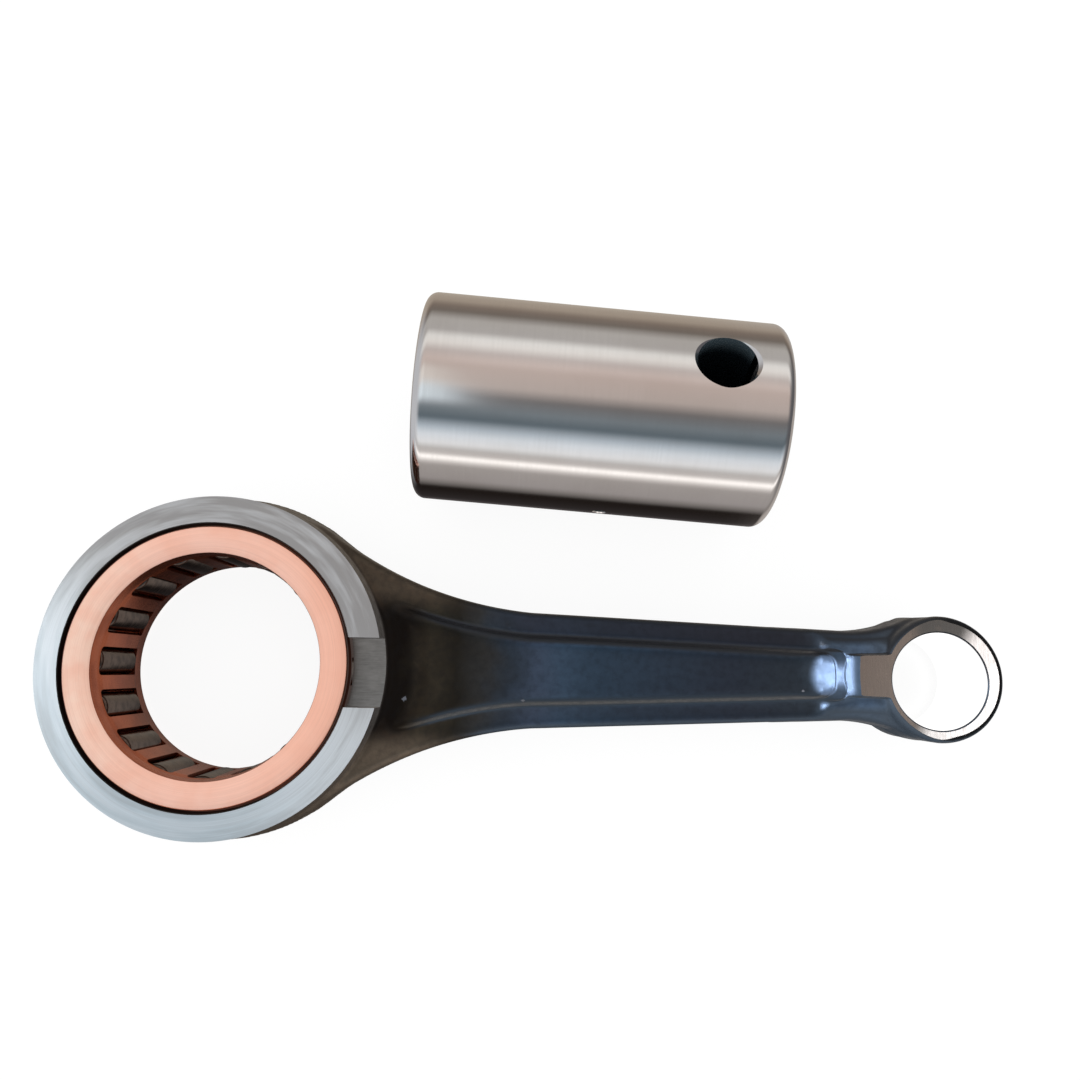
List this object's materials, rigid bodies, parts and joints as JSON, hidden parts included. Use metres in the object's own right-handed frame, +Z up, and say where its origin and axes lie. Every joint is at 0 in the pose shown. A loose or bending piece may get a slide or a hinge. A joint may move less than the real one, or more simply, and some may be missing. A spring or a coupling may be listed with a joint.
{
  "type": "connecting rod",
  "caption": "Forged I-beam connecting rod with a caged needle bearing in its big end and a loose ground crank pin with an oil hole, laid out as a kit.",
  "frame": {"origin": "centre of the kit's footprint on the bench, on the plane that the big end and the crank pin rest on", "axes": "+X along the rod from the big end to the small end, +Z up, parallel to both bores"},
  "size_m": [0.1386, 0.0807, 0.0305],
  "materials": {
    "forged_steel": "black oxide over a forged skin, satin, with bright machined faces at the big end",
    "copper_plate": "satin copper plating on a machined steel cage",
    "needle_steel": "polished bearing steel, dark",
    "ground_steel": "ground and polished, grinding lines round the axis",
    "plug_steel": "turned steel"
  },
  "bodies": {
    "rod": {"connecting_rod": "forged_steel"},
    "cage": {"roller_cage": "copper_plate"},
    "needle_01": {"roller_01": "needle_steel"},
    "needle_02": {"roller_02": "needle_steel"},
    "needle_03": {"roller_03": "needle_steel"},
    "needle_04": {"roller_04": "needle_steel"},
    "needle_05": {"roller_05": "needle_steel"},
    "needle_06": {"roller_06": "needle_steel"},
    "needle_07": {"roller_07": "needle_steel"},
    "needle_08": {"roller_08": "needle_steel"},
    "needle_09": {"roller_09": "needle_steel"},
    "needle_10": {"roller_10": "needle_steel"},
    "needle_11": {"roller_11": "needle_steel"},
    "needle_12": {"roller_12": "needle_steel"},
    "needle_13": {"roller_13": "needle_steel"},
    "needle_14": {"roller_14": "needle_steel"},
    "needle_15": {"roller_15": "needle_steel"},
    "needle_16": {"roller_16": "needle_steel"},
    "pin": {"crank_pin": "ground_steel", "oil_passage_plug": "plug_steel"}
  },
  "joints": [
    {"name": "cage_spin", "type": "hinge", "parent": "rod", "child": "cage", "pos_m": [-0.0448, -0.0155, 0.0095], "axis": [0, 0, 1], "continuous": true},
    {"name": "needle_01_spin", "type": "hinge", "parent": "cage", "child": "needle_01", "pos_m": [-0.0273, -0.01588, 0.0095], "axis": [0, 0, 1], "continuous": true},
    {"name": "needle_02_spin", "type": "hinge", "parent": "cage", "child": "needle_02", "pos_m": [-0.02849, -0.00916, 0.0095], "axis": [0, 0, 1], "continuous": true},
    {"name": "needle_03_spin", "type": "hinge", "parent": "cage", "child": "needle_03", "pos_m": [-0.03216, -0.0034, 0.0095], "axis": [0, 0, 1], "continuous": true},
    {"name": "needle_04_spin", "type": "hinge", "parent": "cage", "child": "needle_04", "pos_m": [-0.03775, 0.00052, 0.0095], "axis": [0, 0, 1], "continuous": true},
    {"name": "needle_05_spin", "type": "hinge", "parent": "cage", "child": "needle_05", "pos_m": [-0.04442, 0.002, 0.0095], "axis": [0, 0, 1], "continuous": true},
    {"name": "needle_06_spin", "type": "hinge", "parent": "cage", "child": "needle_06", "pos_m": [-0.05114, 0.00081, 0.0095], "axis": [0, 0, 1], "continuous": true},
    {"name": "needle_07_spin", "type": "hinge", "parent": "cage", "child": "needle_07", "pos_m": [-0.0569, -0.00286, 0.0095], "axis": [0, 0, 1], "continuous": true},
    {"name": "needle_08_spin", "type": "hinge", "parent": "cage", "child": "needle_08", "pos_m": [-0.06082, -0.00845, 0.0095], "axis": [0, 0, 1], "continuous": true},
    {"name": "needle_09_spin", "type": "hinge", "parent": "cage", "child": "needle_09", "pos_m": [-0.0623, -0.01512, 0.0095], "axis": [0, 0, 1], "continuous": true},
    {"name": "needle_10_spin", "type": "hinge", "parent": "cage", "child": "needle_10", "pos_m": [-0.06111, -0.02184, 0.0095], "axis": [0, 0, 1], "continuous": true},
    {"name": "needle_11_spin", "type": "hinge", "parent": "cage", "child": "needle_11", "pos_m": [-0.05744, -0.0276, 0.0095], "axis": [0, 0, 1], "continuous": true},
    {"name": "needle_12_spin", "type": "hinge", "parent": "cage", "child": "needle_12", "pos_m": [-0.05185, -0.03152, 0.0095], "axis": [0, 0, 1], "continuous": true},
    {"name": "needle_13_spin", "type": "hinge", "parent": "cage", "child": "needle_13", "pos_m": [-0.04518, -0.033, 0.0095], "axis": [0, 0, 1], "continuous": true},
    {"name": "needle_14_spin", "type": "hinge", "parent": "cage", "child": "needle_14", "pos_m": [-0.03846, -0.03181, 0.0095], "axis": [0, 0, 1], "continuous": true},
    {"name": "needle_15_spin", "type": "hinge", "parent": "cage", "child": "needle_15", "pos_m": [-0.0327, -0.02814, 0.0095], "axis": [0, 0, 1], "continuous": true},
    {"name": "needle_16_spin", "type": "hinge", "parent": "cage", "child": "needle_16", "pos_m": [-0.02878, -0.02255, 0.0095], "axis": [0, 0, 1], "continuous": true},
    {"name": "crank_pin_swing", "type": "hinge", "parent": "rod", "child": "pin", "pos_m": [-0.01765, 0.00405, 0.04116], "axis": [0.7058, -0.0432, 0.7071], "range_deg": [0, 180]}
  ],
  "couplings": [
    {"joint": "needle_01_spin", "follows": "cage_spin", "ratio": -8.42},
    {"joint": "needle_02_spin", "follows": "cage_spin", "ratio": -8.42},
    {"joint": "needle_03_spin", "follows": "cage_spin", "ratio": -8.42},
    {"joint": "needle_04_spin", "follows": "cage_spin", "ratio": -8.42},
    {"joint": "needle_05_spin", "follows": "cage_spin", "ratio": -8.42},
    {"joint": "needle_06_spin", "follows": "cage_spin", "ratio": -8.42},
    {"joint": "needle_07_spin", "follows": "cage_spin", "ratio": -8.42},
    {"joint": "needle_08_spin", "follows": "cage_spin", "ratio": -8.42},
    {"joint": "needle_09_spin", "follows": "cage_spin", "ratio": -8.42},
    {"joint": "needle_10_spin", "follows": "cage_spin", "ratio": -8.42},
    {"joint": "needle_11_spin", "follows": "cage_spin", "ratio": -8.42},
    {"joint": "needle_12_spin", "follows": "cage_spin", "ratio": -8.42},
    {"joint": "needle_13_spin", "follows": "cage_spin", "ratio": -8.42},
    {"joint": "needle_14_spin", "follows": "cage_spin", "ratio": -8.42},
    {"joint": "needle_15_spin", "follows": "cage_spin", "ratio": -8.42},
    {"joint": "needle_16_spin", "follows": "cage_spin", "ratio": -8.42}
  ]
}
